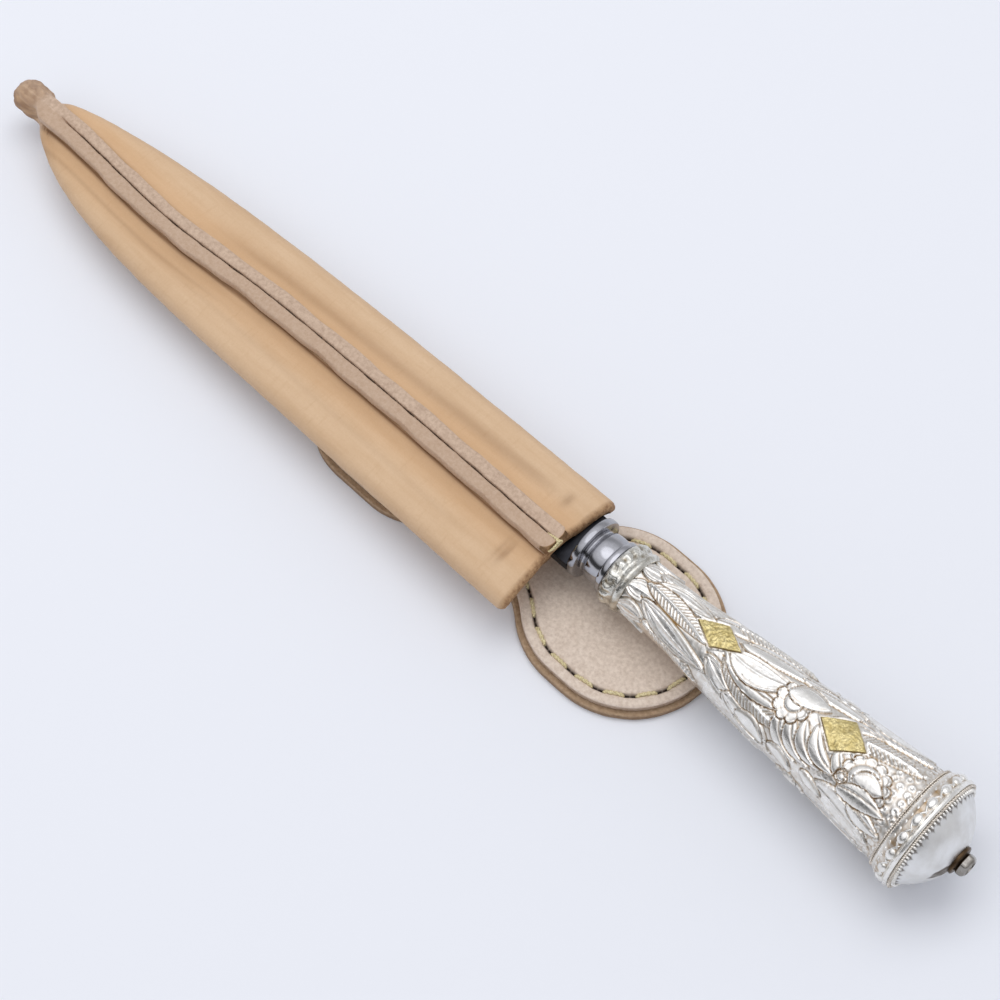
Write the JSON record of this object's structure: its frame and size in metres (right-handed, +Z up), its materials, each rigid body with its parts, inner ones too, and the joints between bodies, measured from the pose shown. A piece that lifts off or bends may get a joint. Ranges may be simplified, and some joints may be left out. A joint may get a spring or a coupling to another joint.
{
  "type": "sheath knife",
  "caption": "Belt knife with an embossed silver handle, gold lozenges and a turned steel bolster, in a seamed leather sheath with a two-lobed stitched belt tab.",
  "frame": {"origin": "middle of the bounding box on the table that the sheathed knife lies on", "axes": "+X along the knife towards the pommel, +Y towards the blade's spine, +Z up, away from the belt side"},
  "size_m": [0.3573, 0.0528, 0.034],
  "materials": {
    "blade_steel": "forged steel, satin with a dark ricasso",
    "bolster_steel": "turned steel, polished",
    "ferrule_silver": "lumpy silver with gilt spots",
    "silver": "repousse silver, brownish in its recesses",
    "dome_silver": "smooth satin silver",
    "gold": "granular gold",
    "gilt_wire": "worn gilt wire",
    "finial_brass": "darkened metal with a brown patina",
    "core": "hard filler, hidden",
    "sheath_leather": "vegetable-tanned leather, smooth grain",
    "flesh_leather": "flesh side of leather, greyish pink",
    "edge_leather": "leather with a burnished edge",
    "seam_thread": "dark waxed thread",
    "waxed_thread": "olive waxed thread"
  },
  "bodies": {
    "sheath": {"sheath_body": "sheath_leather", "seam_thread": "seam_thread", "seam_knot": "waxed_thread", "tab_inner_leaf": "flesh_leather", "tab_outer_leaf": "edge_leather", "upper_lobe_stitches": "waxed_thread", "lower_lobe_stitches": "waxed_thread", "anchor_stitches": "waxed_thread"},
    "knife": {"blade": "blade_steel", "bolster": "bolster_steel", "neck_ferrule": "ferrule_silver", "handle_shell": "silver", "handle_core": "core", "lozenge_neck_back": "gold", "lozenge_pommel_back": "gold", "lozenge_neck_front": "gold", "lozenge_pommel_front": "gold", "pommel_collar": "silver", "collar_wire_front": "gilt_wire", "collar_wire_rear": "gilt_wire", "pommel_dome": "dome_silver", "dome_bezel": "silver", "finial_washer": "finial_brass", "finial_nut": "bolster_steel"}
  },
  "joints": [
    {"name": "knife_draw", "type": "slide", "parent": "sheath", "child": "knife", "axis": [0.9998, 0, 0.0174], "range_m": [0, 0.22]}
  ]
}
